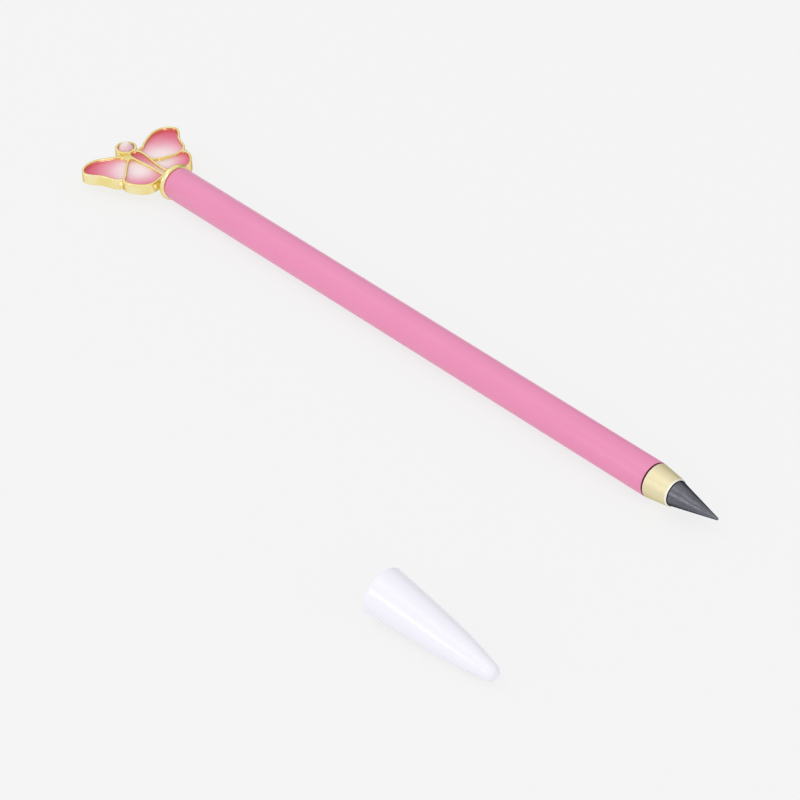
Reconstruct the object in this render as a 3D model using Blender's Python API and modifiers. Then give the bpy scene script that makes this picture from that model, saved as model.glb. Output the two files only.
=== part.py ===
"""Everlasting pencil with a butterfly charm on its tail, lying beside its cap.

The pencil lies along X with its nib towards +X, and the cap lies beside it at -Y. All sizes are in metres.
"""

import math

import bmesh
import bpy

# Fits between pieces
FIT = 0.0001  # radial clearance of a pressed or screwed fit
SEAT = 0.0002  # gap between two faces that butt together
CELL_FIT = 0.0001  # gap round an enamel filling in its cell

# Barrel and what is pressed into its two ends
BARREL_DIAMETER = 0.0080
BARREL_LENGTH = 0.1560
BARREL_WALL = 0.0009
BARREL_CHAMFER = 0.00015
BUSH_LENGTH = 0.0100
PLUG_LENGTH = 0.0100

# Nib head: ferrule, threaded stem and nib
FERRULE_LENGTH = 0.0062
FERRULE_FRONT_DIAMETER = 0.0063
FERRULE_SOCKET_DEPTH = 0.0020
FERRULE_WEB = 0.0008
LIP_WALL = 0.0002
STEM_DIAMETER = 0.0036
STEM_LENGTH = 0.0090
STEM_HEAD_DIAMETER = 0.0048
NIB_BASE_DIAMETER = 0.0057
NIB_LENGTH = 0.0119
NIB_SHOULDER_RADIUS = 0.0016
NIB_TIP_RADIUS = 0.0003
NIB_SHANK_DIAMETER = 0.0024
NIB_SHANK_LENGTH = 0.0038

# Collar
COLLAR_DIAMETER = 0.0090
COLLAR_WIDTH = 0.0016
COLLAR_FACE_DIAMETER = 0.0070

# Butterfly charm
CHARM_SPAN = 0.0282
CHARM_REACH = 0.0178
CHARM_THICKNESS = 0.0027
CHARM_TOP = 0.0011  # the rims' height above the pencil's axis
CHARM_TILT = math.radians(2.5)
RIM_WIDTH = 0.00055
ENAMEL_RECESS = 0.0008
ENAMEL_THICKNESS = 0.0009
CELL_CORNER = 0.0007
CHARM_STEM_DIAMETER = 0.0020
CHARM_STEM_LENGTH = 0.0100
CHARM_STEM_ROOT = 0.0010
NECK_DIAMETER = 0.0028
NECK_LENGTH = 0.0008
NECK_ROOT = 0.0015  # how far the neck runs into the casting
BEAD_DIAMETER = 0.0014
TAIL_BEAD_DIAMETER = 0.0012
SETTING_WALL = 0.0006
SETTING_DEPTH = 0.0009
SETTING_RISE = 0.0001  # how far the setting stands above the rims

# Crystal
CRYSTAL_DIAMETER = 0.0038
CRYSTAL_BASE_DIAMETER = 0.0030
CRYSTAL_TABLE_DIAMETER = 0.0015
CRYSTAL_PAVILION = 0.0005  # from its flat back up to its girdle
CRYSTAL_GIRDLE = 0.0002
CRYSTAL_CROWN = 0.0014
CRYSTAL_FACETS = 8

# Cap
CAP_LENGTH = 0.0320
CAP_MOUTH_DIAMETER = 0.0109
CAP_TAPER = 0.0024  # how much of the radius goes evenly along the cap
CAP_NOSE_RADIUS = 0.0019
CAP_WALL = 0.0011
CAP_NOSE_WALL = 0.0016
CAP_GRIP_LENGTH = 0.0050
CAP_BALANCE = 0.42  # where along the cap its weight acts, as a share of its length
CAP_MOUTH_FROM_BARREL_END = -0.0090
CAP_ASIDE = 0.0671
CAP_YAW = math.radians(2.0)

ROUND_SIDES = 48
SMALL_SIDES = 24
CURVE_STEPS = 3

# Butterfly outline along the middle of its rims, as shares of the reach and of half the span
FOREWING_EDGE = (
    (0.813, 0.226),
    (0.871, 0.331),
    (0.936, 0.472),
    (0.983, 0.596),
    (1.000, 0.716),
    (0.984, 0.835),
    (0.922, 0.955),
    (0.836, 1.000),
    (0.733, 0.942),
    (0.645, 0.854),
    (0.548, 0.799),
    (0.456, 0.763),
    (0.399, 0.710),
)
NOTCH = (0.359, 0.651)
HINDWING_EDGE = (
    (0.291, 0.665),
    (0.223, 0.651),
    (0.132, 0.588),
    (0.063, 0.506),
    (0.023, 0.416),
    (0.016, 0.333),
    (0.029, 0.231),
)
BODY_SIDE = (
    (0.797, 0.068),
    (0.745, 0.101),
    (0.658, 0.108),
    (0.527, 0.090),
    (0.413, 0.072),
    (0.298, 0.061),
    (0.184, 0.058),
    (0.075, 0.061),
)
BODY_HEAD = (0.826, 0.0)
BODY_TAIL = (0.046, 0.0)
NEAR_RIB_START = 0.705
NEAR_RIB = ((0.682, 0.210), (0.599, 0.329), (0.508, 0.445), (0.417, 0.550))
FAR_RIB_START = 0.491
FAR_RIB = ((0.422, 0.210), (0.385, 0.354), (0.359, 0.499))
BEAD_PLACE = (0.362, 0.694)
TAIL_BEAD_PLACE = (0.0, 0.322)
CRYSTAL_PLACE = 0.9326

BARREL_BORE = BARREL_DIAMETER / 2 - BARREL_WALL
NECK_FRONT = -BARREL_LENGTH - 2 * SEAT - COLLAR_WIDTH
CHARM_START = NECK_FRONT - NECK_LENGTH
AXIS_HEIGHT = COLLAR_DIAMETER / 2


def clear_scene():
    for obj in list(bpy.data.objects):
        bpy.data.objects.remove(obj)


def collection(name):
    made = bpy.data.collections.new(name)
    bpy.context.scene.collection.children.link(made)
    return made


def finish(name, colour, roughness, metallic, alpha=1.0):
    made = bpy.data.materials.new(name)
    made.use_nodes = True
    surface = made.node_tree.nodes["Principled BSDF"]
    surface.inputs["Base Color"].default_value = (*colour, 1)
    surface.inputs["Roughness"].default_value = roughness
    surface.inputs["Metallic"].default_value = metallic
    surface.inputs["Alpha"].default_value = alpha
    return made


def empty(name, parent, location=(0, 0, 0), rotation=(0, 0, 0)):
    made = bpy.data.objects.new(name, None)
    PARTS.objects.link(made)
    made.parent = parent
    made.location = location
    made.rotation_euler = rotation
    return made


def smooth(obj):
    """Shades the curved faces smooth and keeps the edges crisp."""
    obj.data.shade_smooth()
    obj.data.set_sharp_from_angle(angle=math.radians(30))


def place(obj, parent, location=(0, 0, 0), rotation=(0, 0, 0), material=None):
    obj.parent = parent
    obj.location = location
    obj.rotation_euler = rotation
    if material:
        obj.data.materials.append(material)
    return obj


def turned(name, profile, closed, parent, along, material, sides=ROUND_SIDES):
    """Turns a profile of (distance along the axis, radius) points about the pencil's axis.

    The profile starts at the front, runs back along the outer side and, where it is closed,
    comes forward again along the bore.
    """
    mesh = bpy.data.meshes.new(name)
    points = [(radius, 0, distance) for distance, radius in profile]
    edges = [(i, i + 1) for i in range(len(points) - 1)]
    if closed:
        edges.append((len(points) - 1, 0))
    mesh.from_pydata(points, edges, [])
    obj = bpy.data.objects.new(name, mesh)
    PARTS.objects.link(obj)
    screw = obj.modifiers.new("turn", "SCREW")
    screw.axis = "Z"
    screw.steps = sides
    screw.render_steps = sides
    screw.use_merge_vertices = True
    screw.merge_threshold = 0.00001
    screw.use_smooth_shade = True
    return place(obj, parent, (along, 0, 0), (0, math.pi / 2, 0), material)


def curve_through(points, steps=CURVE_STEPS):
    """A smooth open curve through the points, as a list of points on it."""
    padded = [points[0], *points, points[-1]]
    made = []
    for before, start, end, after in zip(padded, padded[1:], padded[2:], padded[3:]):
        for step in range(steps):
            t = step / steps
            made.append(
                tuple(
                    b + 0.5 * t * (c - a + t * (2 * a - 5 * b + 4 * c - d + t * (3 * (b - c) + d - a)))
                    for a, b, c, d in zip(before, start, end, after)
                )
            )
    return [*made, points[-1]]


def signed_area(loop):
    return sum(a[0] * b[1] - b[0] * a[1] for a, b in zip(loop, [*loop[1:], loop[0]])) / 2


def clearance(point, loop):
    """How far a point is from the nearest place on a closed loop."""
    nearest = math.inf
    for start, end in zip(loop, [*loop[1:], loop[0]]):
        along = (end[0] - start[0], end[1] - start[1])
        share = (point[0] - start[0]) * along[0] + (point[1] - start[1]) * along[1]
        share = min(1, max(0, share / (along[0] ** 2 + along[1] ** 2)))
        foot = (start[0] + share * along[0], start[1] + share * along[1])
        nearest = min(nearest, math.dist(point, foot))
    return nearest


def grown(loop, distance):
    """The closed loop moved outwards by a distance, or inwards where that is negative.

    In a bend tighter than the distance the moved points fold over one another, so those that
    come nearer to the loop than the distance are left out.
    """
    side = distance if signed_area(loop) > 0 else -distance
    made = []
    for before, here, after in zip([loop[-1], *loop[:-1]], loop, [*loop[1:], loop[0]]):
        back = (here[0] - before[0], here[1] - before[1])
        ahead = (after[0] - here[0], after[1] - here[1])
        back_length = math.hypot(*back)
        ahead_length = math.hypot(*ahead)
        normal = (
            back[1] / back_length + ahead[1] / ahead_length,
            -back[0] / back_length - ahead[0] / ahead_length,
        )
        reach = 2 * side / (normal[0] ** 2 + normal[1] ** 2)
        made.append((here[0] + normal[0] * reach, here[1] + normal[1] * reach))
    return [point for point in made if clearance(point, loop) > 0.99 * abs(distance)]


def softened(loop, corners, reach, steps=3):
    """The closed loop with a curve in place of what lies within reach of each corner."""
    made = list(loop)
    for corner in corners:
        far = [math.dist(point, corner) > reach for point in made]
        first = next(i for i in range(len(made)) if far[i - 1] and not far[i])
        made = made[first:] + made[:first]
        near = 0
        while math.dist(made[near], corner) <= reach:
            near += 1
        start = made[-1]
        end = made[near]
        arc = []
        for step in range(1, steps + 1):
            t = step / (steps + 1)
            arc.append(
                tuple(
                    (1 - t) ** 2 * a + 2 * t * (1 - t) * b + t**2 * c
                    for a, b, c in zip(start, corner, end)
                )
            )
        made = arc + made[near:]
    return made


def slab(name, loop, low, high, target):
    """A flat piece with the loop as its outline, between two heights, as a mesh."""
    curve = bpy.data.curves.new(name, "CURVE")
    curve.dimensions = "2D"
    curve.fill_mode = "BOTH"
    curve.extrude = (high - low) / 2
    spline = curve.splines.new("POLY")
    spline.points.add(len(loop) - 1)
    for point, (x, y) in zip(spline.points, loop):
        point.co = (x, y, 0, 1)
    spline.use_cyclic_u = True
    outline = bpy.data.objects.new(name, curve)
    target.objects.link(outline)
    outline.location = (0, 0, (low + high) / 2)
    bpy.context.view_layer.update()
    graph = bpy.context.evaluated_depsgraph_get()
    mesh = bpy.data.meshes.new_from_object(outline.evaluated_get(graph))
    mesh.transform(outline.matrix_world)
    bpy.data.objects.remove(outline)
    shape = bmesh.new()
    shape.from_mesh(mesh)
    bmesh.ops.remove_doubles(shape, verts=shape.verts, dist=0.000001)
    bmesh.ops.recalc_face_normals(shape, faces=shape.faces)
    shape.to_mesh(mesh)
    shape.free()
    obj = bpy.data.objects.new(name, mesh)
    target.objects.link(obj)
    return obj


def primitive(name, make, target, **sizes):
    shape = bmesh.new()
    make(shape, **sizes)
    mesh = bpy.data.meshes.new(name)
    shape.to_mesh(mesh)
    shape.free()
    obj = bpy.data.objects.new(name, mesh)
    target.objects.link(obj)
    return obj


def combine(obj, tool, operation):
    boolean = obj.modifiers.new(tool.name, "BOOLEAN")
    boolean.operation = operation
    boolean.solver = "EXACT"
    boolean.object = tool
    tool.hide_render = True
    tool.display_type = "WIRE"


def on_charm(point, side):
    """A share of the charm's reach and half span as a place: x towards the nib, y to one side."""
    reach = CHARM_REACH - RIM_WIDTH / 2
    half_span = (CHARM_SPAN - RIM_WIDTH) / 2
    return (-point[0] * reach, side * point[1] * half_span)


def barrel_pieces(pencil):
    outer = BARREL_DIAMETER / 2
    chamfer = BARREL_CHAMFER
    tube = [
        (BARREL_LENGTH, BARREL_BORE),
        (BARREL_LENGTH, outer - chamfer),
        (BARREL_LENGTH - chamfer, outer),
        (chamfer, outer),
        (0, outer - chamfer),
        (0, BARREL_BORE),
    ]
    turned("barrel", tube, True, pencil, -BARREL_LENGTH, PINK_PAINT)
    bush = sleeve(BUSH_LENGTH, BARREL_BORE - FIT, STEM_DIAMETER / 2 + FIT)
    turned("front_bush", bush, True, pencil, -SEAT - BUSH_LENGTH, BRASS)
    plug = sleeve(PLUG_LENGTH, BARREL_BORE - FIT, CHARM_STEM_DIAMETER / 2 + FIT)
    turned("tail_plug", plug, True, pencil, SEAT - BARREL_LENGTH, BRASS)


def sleeve(length, outer, bore):
    return [(length, bore), (length, outer), (0, outer), (0, bore)]


def nib_head_pieces(pencil):
    front = FERRULE_FRONT_DIAMETER / 2
    back = BARREL_DIAMETER / 2
    socket = front - LIP_WALL
    shank_hole = NIB_SHANK_DIAMETER / 2 + FIT
    rear_bore = STEM_HEAD_DIAMETER / 2 + FIT
    socket_floor = FERRULE_LENGTH - FERRULE_SOCKET_DEPTH
    web_back = socket_floor - FERRULE_WEB
    ferrule = [
        (FERRULE_LENGTH, socket),
        (FERRULE_LENGTH, front),
        (BARREL_CHAMFER, back),
        (0, back - BARREL_CHAMFER),
        (0, rear_bore),
        (web_back, rear_bore),
        (web_back, shank_hole),
        (socket_floor, shank_hole),
        (socket_floor, socket),
    ]
    turned("ferrule", ferrule, True, pencil, SEAT, PALE_GOLD)

    head = STEM_HEAD_DIAMETER / 2
    stem = STEM_DIAMETER / 2
    head_front = web_back - SEAT
    nib_back = socket_floor + SEAT - NIB_SHANK_LENGTH
    hole_floor = nib_back - SEAT
    threaded_stem = [
        (hole_floor, 0),
        (hole_floor, shank_hole),
        (head_front, shank_hole),
        (head_front, head),
        (0, head),
        (0, stem),
        (-STEM_LENGTH + BARREL_CHAMFER, stem),
        (-STEM_LENGTH, stem - BARREL_CHAMFER),
        (-STEM_LENGTH, 0),
    ]
    turned("threaded_stem", threaded_stem, False, pencil, SEAT, STEEL)

    base = NIB_BASE_DIAMETER / 2
    shank = NIB_SHANK_DIAMETER / 2
    tip = FERRULE_LENGTH + NIB_LENGTH
    slope = math.atan2(base - NIB_TIP_RADIUS, NIB_LENGTH)
    tip_centre = tip - NIB_TIP_RADIUS
    nib = [(tip, 0)]
    for step in range(1, 5):
        angle = (math.pi / 2 - slope) * step / 4
        nib.append((tip_centre + NIB_TIP_RADIUS * math.cos(angle), NIB_TIP_RADIUS * math.sin(angle)))
    for step in range(5):
        angle = slope * (1 - step / 4)
        drop = NIB_SHOULDER_RADIUS * (1 - math.cos(angle))
        nib.append((FERRULE_LENGTH + NIB_SHOULDER_RADIUS * math.sin(angle), base - drop))
    nib += [
        (socket_floor + SEAT, base),
        (socket_floor + SEAT, shank),
        (nib_back, shank),
        (nib_back, 0),
    ]
    turned("nib", nib, False, pencil, SEAT, GRAPHITE)


def collar_piece(pencil):
    bore = CHARM_STEM_DIAMETER / 2 + FIT
    face = COLLAR_FACE_DIAMETER / 2
    bulge = COLLAR_DIAMETER / 2 - face
    profile = [(COLLAR_WIDTH, bore)]
    for step in range(11):
        angle = math.pi * step / 10
        profile.append((COLLAR_WIDTH / 2 * (1 + math.cos(angle)), face + bulge * math.sin(angle)))
    profile.append((0, bore))
    turned("collar", profile, True, pencil, -BARREL_LENGTH - SEAT - COLLAR_WIDTH, PALE_GOLD)


def wing_lines(side, rib_start, rib):
    """The lines that bound one side's two cells, from the head end to the tail end."""
    body = curve_through([on_charm(point, side) for point in BODY_SIDE], 4)
    start = on_charm((rib_start, 0), side)[0]
    meet = min(range(len(body)), key=lambda i: abs(body[i][0] - start))
    notch = on_charm(NOTCH, side)
    forewing = curve_through([body[0], *(on_charm(p, side) for p in FOREWING_EDGE), notch])
    hindwing = curve_through([notch, *(on_charm(p, side) for p in HINDWING_EDGE), body[-1]])
    spoke = curve_through([body[meet], *(on_charm(p, side) for p in rib), notch])
    return body, meet, forewing, hindwing, spoke


def charm_pieces(pencil):
    charm = empty("charm_place", pencil, (CHARM_START, 0, 0), (CHARM_TILT, 0, 0))
    near_body, near_meet, near_fore, near_hind, near_spoke = wing_lines(-1, NEAR_RIB_START, NEAR_RIB)
    far_body, far_meet, far_fore, far_hind, far_spoke = wing_lines(1, FAR_RIB_START, FAR_RIB)
    head_end = on_charm(BODY_HEAD, 1)
    tail_end = on_charm(BODY_TAIL, 1)
    outline = near_fore + near_hind[1:] + [tail_end] + far_hind[::-1] + far_fore[-2::-1] + [head_end]
    cells = {
        "near_forewing": near_fore[CURVE_STEPS:] + near_spoke[-2 : CURVE_STEPS - 1 : -1],
        "near_hindwing": near_hind + near_body[-2 : near_meet - 1 : -1] + near_spoke[1:-1],
        "far_forewing": far_fore + far_spoke[-2::-1] + far_body[far_meet - 1 : 0 : -1],
        "far_hindwing": far_hind + far_body[-2 : far_meet - 1 : -1] + far_spoke[1:-1],
        "body": near_body + [tail_end] + far_body[::-1] + [head_end],
    }
    corners = {
        "near_forewing": (near_fore[CURVE_STEPS], near_fore[-1], near_spoke[CURVE_STEPS]),
        "near_hindwing": (near_hind[0], near_hind[-1], near_spoke[0]),
        "far_forewing": (far_fore[0], far_fore[-1], far_spoke[0]),
        "far_hindwing": (far_hind[0], far_hind[-1], far_spoke[0]),
        "body": (),
    }

    back = CHARM_TOP - CHARM_THICKNESS
    enamel_top = CHARM_TOP - ENAMEL_RECESS
    floor = enamel_top - ENAMEL_THICKNESS
    frame = slab("charm_frame", grown(outline, RIM_WIDTH / 2), back, CHARM_TOP, PARTS)
    place(frame, charm, material=PALE_GOLD)

    setting_bore = CRYSTAL_DIAMETER / 2 + CELL_FIT
    boss = cylinder("setting_boss", setting_bore + SETTING_WALL, CHARM_THICKNESS)
    place(boss, charm, (-CRYSTAL_PLACE * CHARM_REACH, 0, (back + CHARM_TOP) / 2 + SETTING_RISE))
    combine(frame, boss, "UNION")
    for name, diameter, low, high in (
        ("charm_neck", NECK_DIAMETER, CHARM_START - NECK_ROOT, NECK_FRONT),
        ("charm_stem", CHARM_STEM_DIAMETER, CHARM_START - CHARM_STEM_ROOT, NECK_FRONT + CHARM_STEM_LENGTH),
    ):
        rod = cylinder(name, diameter / 2, high - low)
        place(rod, pencil, ((low + high) / 2, 0, 0), (0, math.pi / 2, 0))
        combine(frame, rod, "UNION")
    for name, side, spot, diameter in (
        ("near_bead", -1, BEAD_PLACE, BEAD_DIAMETER),
        ("far_bead", 1, BEAD_PLACE, BEAD_DIAMETER),
        ("near_tail_bead", -1, TAIL_BEAD_PLACE, TAIL_BEAD_DIAMETER),
        ("far_tail_bead", 1, TAIL_BEAD_PLACE, TAIL_BEAD_DIAMETER),
    ):
        bead = primitive(
            name,
            bmesh.ops.create_uvsphere,
            TOOLS,
            u_segments=12,
            v_segments=8,
            radius=diameter / 2,
        )
        place(bead, charm, (*on_charm(spot, side), 0))
        combine(frame, bead, "UNION")

    for name, loop in cells.items():
        pocket_loop = grown(softened(loop, corners[name], CELL_CORNER), -RIM_WIDTH / 2)
        pocket = slab(name + "_pocket", pocket_loop, floor, CHARM_TOP + CHARM_THICKNESS, TOOLS)
        place(pocket, charm)
        combine(frame, pocket, "DIFFERENCE")
        filling = slab(name + "_enamel", grown(pocket_loop, -CELL_FIT), floor + CELL_FIT, enamel_top, PARTS)
        place(filling, charm, material=BODY_ENAMEL if name == "body" else WING_ENAMEL)
    recess = cylinder("setting_recess", setting_bore, 2 * SETTING_DEPTH)
    place(recess, charm, (-CRYSTAL_PLACE * CHARM_REACH, 0, CHARM_TOP))
    combine(frame, recess, "DIFFERENCE")
    smooth(frame)
    crystal_piece(charm)


def cylinder(name, radius, length):
    return primitive(
        name,
        bmesh.ops.create_cone,
        TOOLS,
        cap_ends=True,
        segments=SMALL_SIDES,
        radius1=radius,
        radius2=radius,
        depth=length,
    )


def crystal_piece(charm):
    """A flat-backed cut stone: each ring of corners is (radius, height, turn in facets)."""
    girdle = CRYSTAL_DIAMETER / 2
    table = CRYSTAL_TABLE_DIAMETER / 2
    girdle_top = CRYSTAL_PAVILION + CRYSTAL_GIRDLE
    rings = (
        (CRYSTAL_BASE_DIAMETER / 2, 0, 0),
        (girdle, CRYSTAL_PAVILION, 0),
        (girdle, girdle_top, 0),
        ((girdle + table) / 2, girdle_top + CRYSTAL_CROWN * 0.6, 0.5),
        (table, girdle_top + CRYSTAL_CROWN, 0),
    )
    stone = bmesh.new()
    for radius, height, turn in rings:
        for number in range(CRYSTAL_FACETS):
            angle = math.tau * (number + turn) / CRYSTAL_FACETS
            stone.verts.new((radius * math.cos(angle), radius * math.sin(angle), height))
    bmesh.ops.convex_hull(stone, input=stone.verts)
    mesh = bpy.data.meshes.new("crystal")
    stone.to_mesh(mesh)
    stone.free()
    crystal = bpy.data.objects.new("crystal", mesh)
    PARTS.objects.link(crystal)
    seat = (-CRYSTAL_PLACE * CHARM_REACH, 0, CHARM_TOP - SETTING_DEPTH + CELL_FIT)
    place(crystal, charm, seat, (0, 0, math.pi / CRYSTAL_FACETS), PINK_CRYSTAL)


def cap_radius(share):
    """The cap's outer radius at a share of the way from its mouth to where its nose begins."""
    loss = CAP_MOUTH_DIAMETER / 2 - CAP_NOSE_RADIUS
    return CAP_MOUTH_DIAMETER / 2 - CAP_TAPER * share - (loss - CAP_TAPER) * share**4


def cap_piece(ground):
    straight = CAP_LENGTH - CAP_NOSE_RADIUS
    steps = 12
    profile = []
    for step in range(6):
        angle = math.pi / 2 * step / 6
        profile.append((straight + CAP_NOSE_RADIUS * math.cos(angle), CAP_NOSE_RADIUS * math.sin(angle)))
    for step in range(steps, -1, -1):
        profile.append((straight * step / steps, cap_radius(step / steps)))
    grip = BARREL_DIAMETER / 2 + FIT
    profile += [(0, grip), (CAP_GRIP_LENGTH, grip)]
    for step in range(steps + 1):
        distance = straight * step / steps
        if distance > CAP_GRIP_LENGTH:
            profile.append((distance, min(grip, cap_radius(step / steps) - CAP_WALL)))
    profile.append((CAP_LENGTH - CAP_NOSE_WALL, 0))

    loss = CAP_MOUTH_DIAMETER / 2 - CAP_NOSE_RADIUS
    slope = (CAP_TAPER + 4 * (loss - CAP_TAPER) * CAP_BALANCE**3) / straight
    lean = math.atan(slope)
    height = cap_radius(CAP_BALANCE) * math.cos(lean) + CAP_BALANCE * straight * math.sin(lean)
    place_of_mouth = (CAP_MOUTH_FROM_BARREL_END, -CAP_ASIDE, height)
    lying = empty("cap_place", ground, place_of_mouth, (0, lean, CAP_YAW))
    turned("cap", profile, False, lying, 0, WHITE_PLASTIC)


def centre_on_ground(ground):
    """Moves the whole object so that its footprint is centred on the origin."""
    bpy.context.view_layer.update()
    graph = bpy.context.evaluated_depsgraph_get()
    corners = []
    for obj in PARTS.objects:
        if obj.type == "MESH":
            body = obj.evaluated_get(graph)
            corners += [body.matrix_world @ vertex.co for vertex in body.data.vertices]
    for axis in (0, 1):
        values = [corner[axis] for corner in corners]
        ground.location[axis] = -(min(values) + max(values)) / 2


clear_scene()
PARTS = collection("everlasting_pencil")
TOOLS = collection("everlasting_pencil_cutters")
PINK_PAINT = finish("pink_paint", (0.80, 0.27, 0.48), 0.45, 0.0)
PALE_GOLD = finish("pale_gold", (0.86, 0.72, 0.36), 0.25, 1.0)
BRASS = finish("brass", (0.75, 0.58, 0.30), 0.35, 1.0)
STEEL = finish("stem_steel", (0.60, 0.60, 0.60), 0.35, 1.0)
GRAPHITE = finish("graphite", (0.07, 0.07, 0.08), 0.45, 0.2)
WING_ENAMEL = finish("wing_enamel", (0.85, 0.45, 0.55), 0.15, 0.0)
BODY_ENAMEL = finish("body_enamel", (0.75, 0.12, 0.20), 0.15, 0.0)
PINK_CRYSTAL = finish("pink_crystal", (0.90, 0.62, 0.66), 0.05, 0.0, 0.6)
WHITE_PLASTIC = finish("white_plastic", (0.85, 0.84, 0.92), 0.25, 0.0)

GROUND = empty("ground", None)
PENCIL = empty("pencil_axis", GROUND, (0, 0, AXIS_HEIGHT))
barrel_pieces(PENCIL)
nib_head_pieces(PENCIL)
collar_piece(PENCIL)
charm_pieces(PENCIL)
cap_piece(GROUND)
centre_on_ground(GROUND)
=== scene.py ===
"""Everlasting pencil with a butterfly charm and its cap beside it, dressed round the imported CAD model."""

import math

import bpy
from mathutils import Matrix, Vector


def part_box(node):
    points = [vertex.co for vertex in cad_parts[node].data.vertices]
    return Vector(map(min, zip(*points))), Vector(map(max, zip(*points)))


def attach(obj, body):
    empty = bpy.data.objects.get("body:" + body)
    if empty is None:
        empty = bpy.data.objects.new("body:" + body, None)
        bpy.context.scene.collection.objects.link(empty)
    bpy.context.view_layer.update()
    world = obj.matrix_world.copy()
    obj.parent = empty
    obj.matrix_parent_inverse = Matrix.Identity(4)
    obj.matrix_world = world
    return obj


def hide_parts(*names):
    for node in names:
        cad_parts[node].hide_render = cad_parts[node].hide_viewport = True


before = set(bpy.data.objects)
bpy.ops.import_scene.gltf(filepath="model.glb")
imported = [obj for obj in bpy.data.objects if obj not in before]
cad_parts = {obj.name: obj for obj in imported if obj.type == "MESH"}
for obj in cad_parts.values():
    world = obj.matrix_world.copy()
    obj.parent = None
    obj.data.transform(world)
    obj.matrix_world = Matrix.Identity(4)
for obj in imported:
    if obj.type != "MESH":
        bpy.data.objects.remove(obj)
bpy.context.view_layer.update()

# ---------------------------------------------------------------------------
# Barrel: a drawn aluminium tube 8 mm thick, faced at both ends and sprayed with satin pink enamel paint.
# All the rest of the pencil is pressed, screwed or glued into it.
# ---------------------------------------------------------------------------

MM = 0.001
barrel_low, barrel_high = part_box("barrel")
AXIS_Y = (barrel_low.y + barrel_high.y) / 2
AXIS_Z = (barrel_low.z + barrel_high.z) / 2
BARREL_RADIUS = 4.0 * MM
BARREL_WALL = 0.9 * MM
BARREL_LENGTH = barrel_high.x - barrel_low.x
PAINT_EDGE = 0.12 * MM  # how far the paint's rounded edge runs in from each end
PAINT_BEND = 0.3 * PAINT_EDGE  # where that edge is roundest
FRONT_SHADE_EDGE = 0.03 * MM  # how far in from the front its face is painted dark, a painted shade for the gap
PENCIL_FRONT = Matrix.Translation((barrel_high.x, AXIS_Y, AXIS_Z))


def start_piece(name):
    """Names the object that was just made and applies its place."""
    piece = bpy.context.object
    piece.name = name
    piece.data.name = name
    bpy.ops.object.transform_apply(location=True, rotation=True, scale=True)
    return piece


def only(piece):
    """Makes a piece the one that the next operators act on."""
    bpy.ops.object.select_all(action="DESELECT")
    piece.select_set(True)
    bpy.context.view_layer.objects.active = piece


def face_outwards():
    """Turns the faces of the mesh in edit mode outwards and leaves edit mode."""
    bpy.ops.mesh.select_all(action="SELECT")
    bpy.ops.mesh.normals_make_consistent(inside=False)
    bpy.ops.object.mode_set(mode="OBJECT")


def settle(piece, place):
    """Moves a piece that was made at the origin to its place, all of it in its mesh."""
    piece.matrix_world = place
    bpy.ops.object.transform_apply(location=True, rotation=True, scale=True)


def smooth(piece, degrees=30):
    """Shades a piece smooth, but not across edges that are sharper than this."""
    only(piece)
    bpy.ops.object.shade_smooth_by_angle(angle=math.radians(degrees))


def round_edges(piece, width, segments):
    """Takes the sharp edges off a piece and shades it smooth between those that are left."""
    only(piece)
    bevel = piece.modifiers.new("edge", "BEVEL")
    bevel.width = width
    bevel.segments = segments
    bevel.limit_method = "ANGLE"
    bevel.angle_limit = math.radians(30)
    bpy.ops.object.modifier_apply(modifier=bevel.name)
    smooth(piece)


def turned(name, stations, place, sides=128):
    """Turns a piece about X: a ring is drawn out from station to station, each (distance, radius).

    A radius of 0 at either end closes the piece there, and a last station like the first closes it
    into a ring.
    """
    first_is_pole = stations[0][1] == 0
    last_is_pole = stations[-1][1] == 0
    rings = [station for station in stations if station[1] > 0]
    bpy.ops.object.select_all(action="DESELECT")
    start, radius = rings[0]
    bpy.ops.mesh.primitive_circle_add(
        vertices=sides, radius=radius, location=(start, 0, 0), rotation=(0, math.pi / 2, 0)
    )
    piece = start_piece(name)
    bpy.ops.object.mode_set(mode="EDIT")
    bpy.ops.mesh.select_all(action="SELECT")
    for (x_before, before), (x, after) in zip(rings, rings[1:]):
        bpy.ops.mesh.extrude_edges_move(TRANSFORM_OT_translate={"value": (x - x_before, 0, 0)})
        bpy.ops.transform.resize(value=(1, after / before, after / before), center_override=(x, 0, 0))
    if last_is_pole:
        to_pole = (stations[-1][0] - rings[-1][0], 0, 0)
        bpy.ops.mesh.extrude_edges_move(TRANSFORM_OT_translate={"value": to_pole})
        bpy.ops.mesh.merge(type="CENTER")
    if first_is_pole:
        bpy.ops.mesh.select_all(action="DESELECT")
        bpy.ops.mesh.select_mode(type="EDGE")
        bpy.ops.mesh.select_non_manifold()
        to_pole = (stations[0][0] - rings[0][0], 0, 0)
        bpy.ops.mesh.extrude_edges_move(TRANSFORM_OT_translate={"value": to_pole})
        bpy.ops.mesh.merge(type="CENTER")
    bpy.ops.mesh.select_all(action="SELECT")
    bpy.ops.mesh.remove_doubles(threshold=0.001 * MM)
    face_outwards()
    settle(piece, place)
    return piece


def linear(code):
    """An sRGB hex colour as the linear RGBA that the nodes take."""
    made = []
    for place in (0, 2, 4):
        value = int(code[place : place + 2], 16) / 255
        made.append(value / 12.92 if value <= 0.04045 else ((value + 0.055) / 1.055) ** 2.4)
    return (*made, 1.0)


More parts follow.
